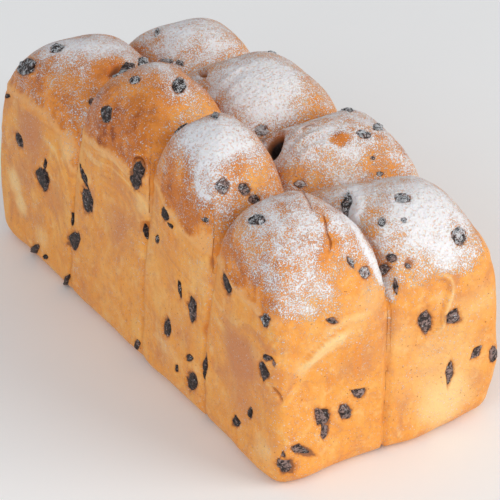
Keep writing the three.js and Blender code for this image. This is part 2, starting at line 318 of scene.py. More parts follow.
# Patches of a property on the crust: pixel, radius in mm and how much is added
SUGAR_PATCHES = {
    "second crown": (212, 136, 15, 0.65),
    "second heart": (240, 150, 12, 0.15),
    "second crown right": (226, 150, 6, 0.3),
    "second film": (210, 182, 8, 0.25),
    "second bare flank": (262, 178, 7, -0.2),
    "second bare fold": (238, 160, 6, -0.35),
    "second bare left": (176, 185, 9, -0.35),
    "third bare": (150, 112, 12, -0.15),
    "third dust": (178, 112, 10, 0.08),
    "third bare left": (108, 142, 9, -0.5),
    "fourth bare low": (58, 112, 10, -0.2),
    "third bare right": (150, 140, 8, -0.2),
    "third ridge": (160, 66, 9, 0.45),
    "third left edge": (95, 100, 6, 0.25),
    "third ring": (180, 88, 7, 0.4),
    "third right flank": (203, 108, 7, 0.05),
    "fourth ridge": (95, 46, 13, 0.45),
    "fourth hollow": (112, 68, 8, -0.4),
    "fourth crest": (55, 46, 12, 0.35),
    "fourth light streak": (72, 100, 7, 0.15),
    "fourth bare": (97, 82, 8, -0.25),
    "fourth wedge": (67, 146, 7, -0.5),
    "third wedge": (145, 190, 6, -0.4),
    "second wedge": (203, 238, 6, -0.5),
    "fifth white": (432, 208, 16, 0.45),
    "fifth bare": (393, 240, 5, -0.15),
    "fifth bare left": (371, 231, 3, -0.3),
    "fifth dust": (400, 228, 14, 0.25),
    "fifth lower edge": (446, 256, 7, 0.55),
    "golden flake": (332, 241, 4, -0.6),
    "golden flake high": (325, 221, 2.2, -0.6),
    "golden flake low": (327, 256, 2.5, -0.6),
    "first crown": (285, 225, 16, 0.12),
    "first crown right": (312, 240, 12, 0.12),
    "fifth flank": (472, 256, 10, 0.22),
    "first front spill": (302, 275, 10, 0.15),
    "first front spill low": (296, 303, 8, 0.18),
    "first front tip": (306, 318, 6, 0.25),
    "first front dust": (284, 345, 7, 0.25),
    "first front dust low": (300, 372, 6, 0.15),
    "first bare": (350, 285, 10, -0.3),
    "first right white": (340, 228, 9, 0.25),
    "first film": (330, 290, 8, 0.2),
    "first bare low left": (240, 285, 8, -0.3),
    "first bare left": (232, 264, 8, -0.2),
    "first bare corner": (258, 300, 7, -0.25),
    "second bare low": (190, 222, 8, -0.25),
    "sixth bare heart": (343, 138, 3.3, -0.85),
    "sixth bare heart's foot": (341, 144, 2, -0.5),
    "sixth bare heart's arm": (333, 141, 2, -0.6),
    "sixth bare low": (375, 160, 8, -0.3),
    "seventh bare": (308, 98, 10, -0.25),
    "eighth white": (195, 45, 12, 0.2),
    "seventh white": (262, 82, 19, 0.65),
    "sixth white": (352, 152, 12, 0.2),
    "sixth right": (390, 155, 12, -0.1),
    "sixth golden": (295, 172, 4, -0.3),
    "sixth low": (322, 168, 9, -0.08),
}
# Lines of sugar: the pixels they run through, radius in mm and how much is added
SUGAR_LINES = {
    "valley": ([(346, 214), (353, 224), (361, 238), (367, 250), (373, 262), (380, 276), (387, 289),
                (392, 298)], 2.6, 0.8),
    "fifth ridge": ([(353, 190), (358, 201), (356, 213), (350, 220)], 3.0, 0.8),
    "film on the second": ([(213, 160), (201, 165), (197, 176), (200, 190), (209, 199)], 1.3, 0.4),
}
# A darker bake above 0, a lighter one below; some patches are painted shade and painted light, as marked
BAKE_PATCHES = {
    "first left grey": (235, 352, 14, 0.35),
    # painted shade: darker in the hollow of the fourth crown
    "fourth hollow": (112, 72, 8, 0.6),
    "fourth low": (62, 108, 9, 0.15),
    # partly painted shade: darker on the left flank, turned from the key lamp
    "third deep left": (108, 140, 10, 0.4),
    # partly painted light: lighter on the right flanks, turned to the key lamp, here and in the next two
    "third right": (200, 105, 11, -0.7),
    "third right low": (188, 118, 8, -0.4),
    "second flank": (262, 178, 9, -0.7),
    "sixth golden": (295, 172, 6, -0.5),
    "sixth low": (335, 168, 14, -0.4),
    "first right low": (352, 285, 12, -0.8),
    "first right edge": (372, 285, 8, -0.7),
    "first front low": (318, 318, 12, -0.5),
    "fifth front edge": (430, 262, 16, -0.5),
    "fifth right edge": (478, 262, 12, -0.4),
    "seventh low": (305, 100, 10, -0.5),
    "third deep middle": (140, 118, 10, 0.2),
    "sixth heart": (341, 139, 5, 1.3),
    # partly painted shade: darker on the left flank, turned from the key lamp
    "second deep left": (168, 188, 8, 0.35),
    "fourth wedge": (67, 146, 8, -1.0),
    "third wedge": (146, 190, 6, -0.7),
    "second wedge": (204, 240, 7, -0.9),
    # painted shade: darker round the deep pit
    "pit": (270, 141, 9, 0.6),
    "base edge": (340, 462, 10, 0.12),
    "first top low": (325, 290, 10, -0.5),
    "fifth left": (392, 238, 8, -0.1),
}
# Paler above 0, tan below
PALE_PATCHES = {
    "fifth front low": (445, 405, 14, 0.6),
    "fifth front": (440, 365, 26, 0.45),
    "first front high": (350, 325, 12, 0.35),
    "first front fold": (318, 352, 6, 0.8),
    "first front fold high": (334, 339, 5, 0.7),
    "first front fold low": (302, 368, 5, 0.6),
    "first left wall": (240, 395, 16, -0.6),
    "first left wall high": (250, 360, 9, -0.5),
    "fifth loop": (445, 300, 6, 0.3),
    "fifth front middle": (400, 340, 8, 0.3),
    "first left low": (262, 448, 9, 0.5),
    "first left brown": (236, 352, 13, -0.9),
    "first left top brown": (228, 315, 8, -0.3),
    "second left high": (200, 275, 9, 0.3),
    "second left low": (170, 350, 9, 0.4),
    "third left low": (105, 280, 15, 0.15),
    "third left seam": (143, 205, 7, 0.5),
    "third left middle": (120, 215, 12, -0.3),
    "fourth left corner": (68, 152, 5, 0.8),
    "fourth left far": (14, 180, 7, 0.8),
    "fourth left swirl": (21, 205, 6, 0.8),
    "fourth left low": (42, 238, 7, 0.5),
    "fourth left brown": (30, 132, 14, -0.9),
    "fourth left heart": (54, 200, 11, -0.6),
    "third left heart": (115, 235, 14, -0.4),
    "second left heart": (180, 330, 12, -0.4),
    "second left side": (165, 250, 9, -0.35),
    "first right shoulder": (375, 295, 9, 0.4),
    "fifth right": (480, 300, 9, 0.3),
}

# What every chip is like
CHIP_SEED = 5
CHIP_MESH_SEED = 11
CHIP_HALF_THICKNESS = 1.8
CHIP_STANDS = (0.3, 0.9)       # how far a chip stands out of a wall, and out of a dome
CHIP_DETAIL = 4
CHIP_DENT = 0.9
CHIP_LIP = 0.25
CHIP_LIP_AT = (1.35, 0.3)      # a lip's place and width, in the chip's half sizes
CHIP_EDGE_WAVES = [(0.1, 0.5, 4), (0.08, 0.22, 5)]
CHIP_FACE_WAVES = [(0.26, 0.55, 2), (0.18, 0.25, 3), (0.08, 0.12, 1)]
CHIP_LONG = 1.6                # a chip this many times as long as wide is pointed
CHIP_FACING = 0.25             # how far a chip at the picture's outline is turned to the camera
NORMAL_REACH = 4
PATCH_DEPTH = 5                # a patch of crust ends this far below its plane

# Chips on the sides that don't show
HIDDEN_DIRECTIONS = 34
HIDDEN_CLEAR = 4
HIDDEN_LOWEST = 9
HIDDEN_SEED = 7
HIDDEN_SIZES = (0.7, 1.25)
HIDDEN_STRETCH = (1.0, 1.7)
HIDDEN_HALF_WIDTH = 3.2
HIDDEN_APART = 14
HIDDEN_SIDEWAYS = 0.06         # crust turned less than this to the camera counts as hidden

# Clumps of sugar: the height, length and lattice of each wave
SUGAR_WAVES = [(0.3, 15, 4), (0.3, 6, 5), (0.25, 3, 2)]

LATTICES = [np.random.default_rng(seed).uniform(-1, 1, (LATTICE_CELLS,) * 3) for seed in range(6)]


def noise(points, length, which=0):
    """Smooth noise between -1 and 1 with lumps about a length apart."""
    place = np.asarray(points, float) / length + LATTICE_SHIFT
    cell = np.floor(place).astype(int)
    part = place - cell
    part = part * part * (3 - 2 * part)
    total = np.zeros(place.shape[:-1])
    for corner in CORNERS:
        x, y, z = np.moveaxis((cell + corner) % LATTICE_CELLS, -1, 0)
        share = np.where(corner, part, 1 - part)
        total += share.prod(-1) * LATTICES[which][x, y, z]
    return total


def waves(points, parts):
    """Sum of noises, each with its height, length and lattice."""
    return sum(height * noise(points, length, which) for height, length, which in parts)


def smooth_step(low, high, value):
    part = np.clip((value - low) / (high - low), 0, 1)
    return part * part * (3 - 2 * part)


def bell(value, middle=0.0, width=1.0):
    """A smooth hump, 1 at its middle."""
    return np.exp(-((value - middle) / width) ** 2)


def list_balls():
    """The eight balls, each with the seams or walls on its four sides."""
    balls = []
    for row, sizes, seams in (("left", LEFT_BALLS, LEFT_SEAMS), ("right", RIGHT_BALLS, RIGHT_SEAMS)):
        along = [(-LOAF_LENGTH / 2, 0, 0), *seams, (LOAF_LENGTH / 2, 0, 0)]
        for i, size in enumerate(sizes):
            if row == "left":
                across = ((-LOAF_WIDTH / 2, 0, 0), MIDDLE_SEAMS[i])
            else:
                across = (MIDDLE_SEAMS[i], (LOAF_WIDTH / 2, 0, 0))
            balls.append(dict(size, row=row, across=across, along=(along[i], along[i + 1])))
    return balls


BALLS = list_balls()


def seam_place(seam, height, distance):
    at, lean, turn = seam
    rise = np.minimum(height, SEAM_STRAIGHTENS) - SEAM_HEIGHT
    return at + (lean * rise + turn * distance) / 100


def span_at(sides, wall, height, distance):
    """Centre and half size between two sides of a ball, grown past its seams but not past a wall."""
    overlap = [0 if abs(side[0]) == wall else SEAM_OVERLAP for side in sides]
    low = seam_place(sides[0], height, distance) - overlap[0]
    high = seam_place(sides[1], height, distance) + overlap[1]
    return (low + high) / 2, (high - low) / 2


def rounded_both(a, b, radius):
    outside = np.hypot(np.maximum(a + radius, 0), np.maximum(b + radius, 0))
    return np.minimum(-radius, np.maximum(a, b)) + outside


def lumps_at(x, y, z):
    turn = 2 * math.pi
    x, y = turn * x / LUMP_LENGTHS[0], turn * y / LUMP_LENGTHS[1]
    up = turn * z / LUMP_LENGTHS[2]
    waves = np.sin(x + 0.6 * up) + np.sin(y - 0.5 * x + 1) + np.sin(up + 0.7 * y + 2)
    return LUMP_HEIGHT / 2 * waves * np.clip(z / LUMP_FADE, 0, 1)


def outside_ball(ball, x, y, z):
    """About how far points lie outside a ball of dough."""
    left = ball["row"] == "left"
    from_side = x + LOAF_WIDTH / 2 if left else LOAF_WIDTH / 2 - x
    middle_x, half_x = span_at(ball["across"], LOAF_WIDTH / 2, z, y + LOAF_LENGTH / 2)
    middle_y, half_y = span_at(ball["along"], LOAF_LENGTH / 2, z, from_side)
    dx, dy = x - middle_x, y - middle_y
    on_wall_across = (dx < 0) == left
    near_end = abs(ball["along"][0][0]) == LOAF_LENGTH / 2
    far_end = abs(ball["along"][1][0]) == LOAF_LENGTH / 2
    on_wall_along = np.where(dy < 0, near_end, far_end)
    corner = np.where(on_wall_across & on_wall_along, LOAF_CORNER,
                      np.where(on_wall_across | on_wall_along, SEAM_CORNER, PIT_CORNER))
    walls = rounded_both(np.abs(dx) - half_x, np.abs(dy) - half_y, corner)
    sides = rounded_both(walls, -z, BASE_EDGE)
    share_x = np.abs(dx / half_x) / np.where(on_wall_across, ball["outer"], ball["inner"])
    share_y = np.abs(dy / half_y) / DOME_SPREAD
    spread = np.cbrt(share_x ** DOME_SQUARENESS + share_y ** DOME_SQUARENESS)
    spread = np.minimum(spread, 0.999)
    fall = np.sqrt(1 - spread * spread)
    dome = z - (ball["crown"] - ball["drop"] * (1 - fall))
    slope = ball["drop"] / half_x / DOME_SPREAD * spread / fall
    return rounded_both(sides, dome / np.hypot(1, slope), SHOULDER)


def outside_balls(points):
    """How far points lie outside each ball."""
    return np.stack([outside_ball(ball, *points.T) for ball in BALLS])


def outside_core(x, y, z):
    across = np.abs(x - CORE["place"]) - CORE["half_width"]
    along = np.abs(y) - (LOAF_LENGTH / 2 - CORE["end_gap"])
    half_height = (CORE["top"] - CORE["floor"]) / 2
    up = np.abs(z - CORE["floor"] - half_height) - half_height
    return np.maximum(np.maximum(across, along), up)


def smooth_min(a, b, blend):
    near = np.maximum(blend - np.abs(a - b), 0) / blend
    return np.minimum(a, b) - near * near * blend / 4


def outside_loaf(points):
    """About how far points lie outside the whole loaf."""
    x, y, z = points[..., 0], points[..., 1], points[..., 2]
    whole = outside_core(x, y, z)
    for ball in BALLS:
        whole = smooth_min(whole, outside_ball(ball, x, y, z), SEAM_BLEND)
    return whole - lumps_at(x, y, z)


def slope_at(points, step=0.3):
    """The way the loaf's outside grows, at each point."""
    parts = []
    for shift in np.eye(3) * step:
        parts.append((outside_loaf(points + shift) - outside_loaf(points - shift)) / (2 * step))
    return np.stack(parts, -1)


def surface_mesh(low, high, step):
    """Corners and four-sided faces of the loaf's surface, one corner in each grid cell that it crosses."""
    axes = [np.arange(a, b + step, step) for a, b in zip(low, high)]
    value = outside_loaf(np.stack(np.meshgrid(*axes, indexing="ij"), -1))
    inside = value < 0
    nx, ny, nz = value.shape
    count = sum(inside[i:nx - 1 + i, j:ny - 1 + j, k:nz - 1 + k].astype(np.int8) for i, j, k in CORNERS)
    cells = np.argwhere((count > 0) & (count < 8))
    number = np.full((nx - 1, ny - 1, nz - 1), -1)
    number[tuple(cells.T)] = np.arange(len(cells))
    total = np.zeros((len(cells), 3))
    crossings = np.zeros(len(cells))
    for corner, axis in itertools.product(CORNERS, range(3)):
        if corner[axis]:
            continue
        after = list(corner)
        after[axis] = 1
        here = value[tuple((cells + corner).T)]
        there = value[tuple((cells + after).T)]
        crossed = (here < 0) != (there < 0)
        place = np.tile(np.array(corner, float), (len(cells), 1))
        place[:, axis] = np.where(crossed, here / np.where(crossed, here - there, 1), 0)
        total += place * crossed[:, None]
        crossings += crossed
    points = np.array(low) + (cells + total / crossings[:, None]) * step
    faces = []
    for axis in range(3):
        side, other = (axis + 1) % 3, (axis + 2) % 3
        ahead, behind = [slice(None)] * 3, [slice(None)] * 3
        ahead[axis], behind[axis] = slice(1, None), slice(None, -1)
        edges = np.argwhere(inside[tuple(behind)] != inside[tuple(ahead)])
        leaving = inside[tuple(edges.T)]
        ring = []
        for move_side, move_other in ((-1, -1), (0, -1), (0, 0), (-1, 0)):
            cell = edges.copy()
            cell[:, side] += move_side
            cell[:, other] += move_other
            ring.append(number[tuple(cell.T)])
        ring = np.stack(ring, 1)
        faces.append(np.where(leaving[:, None], ring, ring[:, ::-1]))
    return points, np.concatenate(faces)


def settle(points):
    """Moves points onto the loaf's surface."""
    for _ in range(SETTLE_STEPS):
        slope = slope_at(points)
        steep = np.maximum((slope * slope).sum(-1), 0.25)
        move = outside_loaf(points) / steep
        points = points - slope * np.clip(move, -GRID_STEP, GRID_STEP)[:, None]
    return points


def point_normals(points, faces):
    a, b, c, d = (points[faces[:, i]] for i in range(4))
    normals = np.cross(c - a, d - b)
    total = np.zeros_like(points)
    for corner in faces.T:
        np.add.at(total, corner, normals)
    return total / np.linalg.norm(total, axis=1, keepdims=True)


def ray_through(x, y):
    """Direction from the eye through a pixel of the picture."""
    across = (x - PICTURE / 2) / focal
    up = (PICTURE / 2 - y) / focal
    direction = -to_camera + picture_right * across + picture_up * up
    return direction / np.linalg.norm(direction)


def cast(tree, x, y):
    """Place and normal where the ray through a pixel meets the crust, or None."""
    place, normal, _, _ = tree.ray_cast(Vector(eye), Vector(ray_through(x, y)))
    return None if place is None else (np.array(place), np.array(normal))


def cast_line(tree, corners):
    """Places where a smooth curve through pixel corners meets the crust."""
    hits = [cast(tree, x, y) for x, y in smooth_line(corners)]
    return [hit[0] for hit in hits if hit is not None]


def on_plane(x, y, place, normal):
    """Where the ray through a pixel meets the plane through a place."""
    direction = ray_through(x, y)
    return eye + direction * (normal @ (place - eye)) / (normal @ direction)


def averaged_normal(place, points, normals):
    near = ((points - place) ** 2).sum(1) < NORMAL_REACH * NORMAL_REACH
    total = normals[near].sum(0)
    return total / np.linalg.norm(total)


def seen_patch(tree, points, normals, x, y, width, height, turn):
    """A patch of crust that covers a turned ellipse of the picture: centre, normal and two half axes."""
    hit = cast(tree, x, y)
    if hit is None:
        return None
    place = hit[0]
    normal = averaged_normal(place, points, normals)
    if normal @ to_camera < CHIP_FACING:
        normal = normal + to_camera * (CHIP_FACING - normal @ to_camera)
        normal = normal / np.linalg.norm(normal)
    right, down = math.cos(math.radians(turn)), math.sin(math.radians(turn))
    half_axes = []
    for dx, dy, reach in ((right, down, width / 2), (-down, right, height / 2)):
        half_axes.append(on_plane(x + dx * reach, y + dy * reach, place, normal) - place)
    return dict(place=place, normal=normal, axes=half_axes)


def chance_corners(patch, rng):
    """Corners for a chip of no marked outline; a long one comes to a point at both ends."""
    first, second = patch["axes"]
    count = rng.integers(6, 9)
    turns = (np.arange(count) + rng.uniform(-0.3, 0.3, count)) * 360 / count + rng.uniform(0, 360)
    far = rng.uniform(0.88, 1.14, count)
    if np.linalg.norm(second) > CHIP_LONG * np.linalg.norm(first):
        turns = np.array([90, 270, 0, 180]) + rng.uniform(-25, 25, 4)
        far = np.array([1.2, 1.2, 0.85, 0.85]) + rng.uniform(-0.1, 0.1, 4)
    return list(zip(turns, far))


def chip_outline(angle, corners):
    """How far a chip reaches at each angle, with straight edges between its corners."""
    corners = sorted((math.radians(turn) % (2 * math.pi), far) for turn, far in corners)
    turns, far = np.array(corners).T
    angle = angle % (2 * math.pi)
    after = np.searchsorted(turns, angle, side="right") % len(turns)
    before = after - 1
    passed = (angle - turns[before]) % (2 * math.pi)
    left = (turns[after] - angle) % (2 * math.pi)
    edge = far[before] * np.sin(passed) + far[after] * np.sin(left)
    return far[before] * far[after] * np.sin(passed + left) / np.maximum(edge, 0.05)


def patch_spread(points, patch):
    """How far points are from a patch's centre along the crust, 1 at its edge."""
    away = points - patch["place"]
    off = away @ patch["normal"]
    flat = away - off[:, None] * patch["normal"]
    shares = flat @ np.linalg.pinv(np.stack(patch["axes"], 1)).T
    spread = np.linalg.norm(shares, axis=1)
    if patch.get("corners"):
        spread = spread / chip_outline(np.arctan2(shares[:, 1], shares[:, 0]), patch["corners"])
    return spread + np.maximum(np.abs(off) - PATCH_DEPTH, 0)


def even_directions(count, turn):
    golden = math.pi * (3 - math.sqrt(5))
    z = 1 - 2 * (np.arange(count) + 0.5) / count
    side = np.sqrt(1 - z * z)
    angle = golden * np.arange(count) + turn
    return np.stack([side * np.cos(angle), side * np.sin(angle), z], 1)


def ball_heart(ball):
    """The middle of a ball at the height of its seams."""
    height = np.array(float(SEAM_HEIGHT))
    x, _ = span_at(ball["across"], LOAF_WIDTH / 2, height, (ball["along"][0][0] + LOAF_LENGTH) / 2)
    y, _ = span_at(ball["along"], LOAF_LENGTH / 2, height, LOAF_WIDTH / 4)
    return np.array([float(x), float(y), SEAM_HEIGHT])


def is_seen(tree, place, normal):
    view = eye - place
    view = view / np.linalg.norm(view)
    blocked = tree.ray_cast(Vector(place + normal * 0.5), Vector(view))[0] is not None
    return normal @ view > HIDDEN_SIDEWAYS and not blocked


def hidden_patches(tree, points, normals, seen):
    """Chips spread evenly over the crust that the camera doesn't see."""
    rng = np.random.default_rng(HIDDEN_SEED)
    patches = []
    for ball in BALLS:
        heart = ball_heart(ball)
        others = [other for other in BALLS if other is not ball]
        for direction in even_directions(HIDDEN_DIRECTIONS, 2 * math.pi * rng.random()):
            size = rng.uniform(*HIDDEN_SIZES)
            turn = rng.uniform(0, 2 * math.pi)
            stretch = rng.uniform(*HIDDEN_STRETCH)
            start = heart + direction * LOAF_LENGTH
            place, normal, _, _ = tree.ray_cast(Vector(start), Vector(-direction))
            if place is None:
                continue
            place, normal = np.array(place), np.array(normal)
            if outside_ball(ball, *place) > 2 or place[2] < HIDDEN_LOWEST:
                continue
            if min(outside_ball(other, *place) for other in others) < HIDDEN_CLEAR:
                continue
            if is_seen(tree, place, normal):
                continue
            if any(np.linalg.norm(place - other["place"]) < HIDDEN_APART for other in seen + patches):
                continue
            normal = averaged_normal(place, points, normals)
            side = np.cross(normal, (0, 0, 1) if abs(normal[2]) < 0.9 else (0, 1, 0))
            side = side / np.linalg.norm(side)
            up = np.cross(normal, side)
            first = (side * math.cos(turn) + up * math.sin(turn)) * HIDDEN_HALF_WIDTH * size
            second = (up * math.cos(turn) - side * math.sin(turn)) * HIDDEN_HALF_WIDTH * size * stretch
            sugar = float(np.clip(0.75 * smooth_step(0.3, 0.9, normal[2]) + rng.uniform(-0.2, 0.1), 0, 1))
            patches.append(dict(place=place, normal=normal, axes=[first, second], sugar=sugar))
    return patches


def distance_to_line(points, normals, line):
    """Distance from points to a line, negative on its right, and its share from 0 to 1 along the line."""
    best = np.full(len(points), 1e9)
    side = np.ones(len(points))
    share = np.zeros(len(points))
    for i, (a, b) in enumerate(zip(line[:-1], line[1:])):
        along = b - a
        part = np.clip((points - a) @ along / (along @ along), 0, 1)
        away = points - a - part[:, None] * along
        distance = np.linalg.norm(away, axis=1)
        nearer = distance < best
        turn = (np.cross(along, away) * normals).sum(1)
        side = np.where(nearer, np.where(turn < 0, -1, 1), side)
        share = np.where(nearer, (i + part) / (len(line) - 1), share)
        best = np.minimum(best, distance)
    return best * side, share


def smooth_line(corners, parts=6):
    """A smooth curve of points through pixel corners."""
    corners = np.array(corners, float)
    padded = np.vstack([2 * corners[0] - corners[1], corners, 2 * corners[-1] - corners[-2]])
    line = []
    for i in range(1, len(padded) - 2):
        p0, p1, p2, p3 = padded[i - 1:i + 3]
        for t in np.arange(parts) / parts:
            line.append(0.5 * (2 * p1 + (p2 - p0) * t + (2 * p0 - 5 * p1 + 4 * p2 - p3) * t ** 2
                               + (3 * p1 - p0 - 3 * p2 + p3) * t ** 3))
    line.append(corners[-1])
    return line


def skin_heights(points):
    """Height at which the browned dome ends, for each point."""
    x, y, z = points.T
    height = np.full(len(points), float(SEAM_HEIGHT))
    owner = outside_balls(points).argmin(0)
    skin = np.zeros(len(points))
    for number, ball in enumerate(BALLS):
        from_side = np.where(ball["row"] == "left", x + LOAF_WIDTH / 2, LOAF_WIDTH / 2 - x)
        middle, half = span_at(ball["along"], LOAF_LENGTH / 2, height, from_side)
        arch = ball["skin"] - SKIN_ARCH * np.abs((y - middle) / half) ** 3
        skin = np.where(owner == number, arch, skin)
    wall = np.array([-LOAF_WIDTH / 2, 0, 0])
    on_wall = smooth_step(wall[0] + SKIN_WALL[0], wall[0] + SKIN_WALL[1], x)
    for number, line in enumerate(SKIN_LINES.values()):
        places = np.array([on_plane(u, v, wall, np.array([-1.0, 0, 0])) for u, v in line])
        seen = np.interp(y, places[:, 1], places[:, 2])
        skin = np.where(owner == number, skin + (seen - skin) * on_wall, skin)
    return skin


def add_patches(points, tree, patches):
    """Sum of soft round patches at the points."""
    total = np.zeros(len(points))
    for x, y, radius, amount in patches.values():
        hit = cast(tree, x, y)
        if hit is None:
            continue
        away = np.linalg.norm(points - hit[0], axis=1) / radius
        away = away * (1 + waves(points, [(0.25, radius * 0.7, 2), (0.1, radius * 0.25, 3)]))
        total += amount * np.exp(-np.maximum(away, 0) ** 3)
    return total


def find_chips(tree, points, normals):
    """All chips, those that show first, each with its corners."""
    seen = []
    for group in SEEN_CHIPS.values():
        for x, y, width, height, turn, sugar, *corners in group.values():
            patch = seen_patch(tree, points, normals, x, y, width, height, turn)
            if patch is not None:
                seen.append(dict(patch, sugar=sugar, corners=corners[0] if corners else None))
    chips = seen + hidden_patches(tree, points, normals, seen)
    rng = np.random.default_rng(CHIP_SEED)
    for patch in chips:
        patch["corners"] = patch.get("corners") or chance_corners(patch, rng)
    return chips


def dent_for_chips(points, chips, values):
    """How far chips push the crust in and up; also how near the nearest is, in shares of its half size."""
    shift = np.zeros(len(points))
    near_chip = np.full(len(points), 4.0)
    for patch in chips:
        spread = patch_spread(points, patch)
        near_chip = np.minimum(near_chip, spread)
        dent = CHIP_DENT * np.exp(-(spread / 0.95) ** 5)
        shift += CHIP_LIP * bell(spread, *CHIP_LIP_AT) - dent
    values["near_chip"] = near_chip
    return shift


def dent_for_hollows(points, normals, tree, values):
    shift = np.zeros(len(points))
    hollow = np.zeros(len(points))
    for x, y, width, height, turn, depth, darkness in HOLLOWS.values():
        patch = seen_patch(tree, points, normals, x, y, width, height, turn)
        spread = patch_spread(points, patch)
        inside = np.exp(-spread ** 4)
        # How dark a hollow is painted: brown and stain, partly painted shade, and near black painted shade
        # above 0.9
        hollow = np.maximum(hollow, darkness * inside)
        shift += 0.4 * bell(spread, 1.2, 0.25) - depth * inside
    values["hollow"] = hollow
    return shift


def raise_folds(points, normals, tree, values):
    """How far folds and cracks move the crust; also how near cracks are, their brown, and the folds' painted
    highlight on the crest and painted shade at the foot.
    """
    shift = np.zeros(len(points))
    fold = np.full(len(points), 9.0)
    brown = np.zeros(len(points))
    painted_fold_light = np.zeros(len(points))
    for corners, height, width, brownness in FOLDS.values():
        away, share = distance_to_line(points, normals, cast_line(tree, corners))
        taper = smooth_step(0, 0.25, share) * smooth_step(1, 0.75, share)
        reach = np.where(away < 0, FOLD_STEEP, 1.0) * width
        shift += height * np.exp(-2 * (away / reach) ** 2) * taper
        if height > 0:
            # Painted light: the crest is painted paler as a highlight, the steep foot deeper as shade
            crest = np.exp(-2 * ((away - 0.3 * width) / (0.6 * width)) ** 2)
            foot = np.exp(-2 * ((away + 0.55 * width) / (0.3 * width)) ** 2)
            painted_fold_light += min(height, FOLD_PAINTED_LIGHT_TOP) * FOLD_PAINTED_LIGHT * (crest - 1.3 * foot) * taper
        if brownness:
            nearest = np.abs(away) < np.abs(fold)
            fold = np.where(nearest, away, fold)
            brown = np.where(nearest, brownness * taper, brown)
    values.update(fold=fold, brown=brown, pale=painted_fold_light)
    return shift


def sugar_amounts(points, normals, tree, own, above):
    """How much sugar lies at each point: more where it faces up, in clumps, then the patches and lines."""
    up = normals[:, 2]
    settled = smooth_step(-0.4, 0.3, up) * smooth_step(-3, 5, above + 2 * noise(points, 7, 5))
    sugar = own * settled * (0.97 + waves(points, SUGAR_WAVES)) * (0.75 + 0.35 * smooth_step(0.45, 1.0, up))
    sugar += add_patches(points, tree, SUGAR_PATCHES)
    for corners, radius, amount in SUGAR_LINES.values():
        away, _ = distance_to_line(points, normals, cast_line(tree, corners))
        sugar += amount * bell(away, 0, radius)
    return sugar


def make_crust():
    """The crust's points, faces, chips' patches and the values that its material reads."""
    margin = 2 * GRID_STEP
    low = (-LOAF_WIDTH / 2 - margin, -LOAF_LENGTH / 2 - margin, -margin)
    high = (LOAF_WIDTH / 2 + margin, LOAF_LENGTH / 2 + margin, GRID_TOP + margin)
    points, faces = surface_mesh(low, high, GRID_STEP)
    points = settle(points)
    normals = point_normals(points, faces)
    rough = waves(points, ROUGH_WAVES) * np.clip(points[:, 2] / LUMP_FADE, 0, 1)
    points = points + normals * rough[:, None]
    tree = BVHTree.FromPolygons(points.tolist(), faces.tolist())
    chips = find_chips(tree, points, normals)
    values = {}
    shift = dent_for_chips(points, chips, values)
    shift += dent_for_hollows(points, normals, tree, values)
    shift += raise_folds(points, normals, tree, values)

    # Grooves in the seams, and a ridge on the long walls where the browned domes end
    between = np.sort(outside_balls(points), axis=0)
    groove = bell(between[1] - between[0], 0, SEAM_GROOVE_WIDTH)
    crisp = smooth_step(0.35, 0.9, np.abs(normals[:, 0]))
    shift -= SEAM_GROOVE * groove * (1 + 0.5 * noise(points, 14, 2)) * (0.35 + 0.65 * crisp)
    above = points[:, 2] - skin_heights(points) + 0.7 * noise(points, 12, 4)
    shift += SKIN_RIDGE * bell(above, -1.6, 1.7) * crisp

    # The lower edge is uneven, and one corner of it is rounder; the base stays flat
    shift += EDGE_WAVE * bell(points[:, 2], 0, EDGE_WAVE_HEIGHT) * noise(points, EDGE_WAVE_LENGTH, 5)
    points = points + normals * (shift * np.clip(points[:, 2] / BASE_FADE, 0, 1))[:, None]
    points[:, 2] = np.maximum(points[:, 2], 0)
    for place, reach, move in EDGE_MOVES:
        points[:, :2] += bell(np.linalg.norm(points - place, axis=1), 0, reach)[:, None] * move

    outside = outside_balls(points)
    first, second = outside.argsort(axis=0)[:2]
    gap = np.sort(outside, axis=0)
    gap = gap[1] - gap[0]
    own = {key: np.array([ball[key] for ball in BALLS])[first] for key in ("sugar", "bake")}
    values["above"] = above
    values["crisp"] = crisp
    values["bake"] = own["bake"] * (0.75 + 0.25 * noise(points, 15, 3))
    values["bake"] += add_patches(points, tree, BAKE_PATCHES)
    values["sugar"] = sugar_amounts(points, normals, tree, own["sugar"], above)
    values["pale"] += add_patches(points, tree, PALE_PATCHES)
    values["seam"] = 1 - np.clip(gap / 9, 0, 1)
    values["seam_side"] = np.where(first < second, 1, -1) * gap
    return points, faces, chips, values


def put(name, data):
    """An object of its own in the scene."""
    obj = bpy.data.objects.new(name, data)
    bpy.context.scene.collection.objects.link(obj)
    return obj


def new_mesh(name, points, faces):
    """A smooth-shaded object of points in millimetres."""
    mesh = bpy.data.meshes.new(name)
    mesh.from_pydata((points * MM).tolist(), [], faces.tolist())
    mesh.update()
    mesh.polygons.foreach_set("use_smooth", [True] * len(mesh.polygons))
    return put(name, mesh)


def set_values(obj, values):
    for name, numbers in values.items():
        attribute = obj.data.attributes.new(name, "FLOAT", "POINT")
        attribute.data.foreach_set("value", np.asarray(numbers, np.float32))


def sphere_mesh(detail):
    """Points and triangles of a round lump, from an icosahedron split a number of times."""
    shape = bmesh.new()
    bmesh.ops.create_icosphere(shape, subdivisions=detail, radius=1)
    points = np.array([vert.co[:] for vert in shape.verts])
    faces = np.array([[vert.index for vert in face.verts] for face in shape.faces])
    shape.free()
    return points, faces


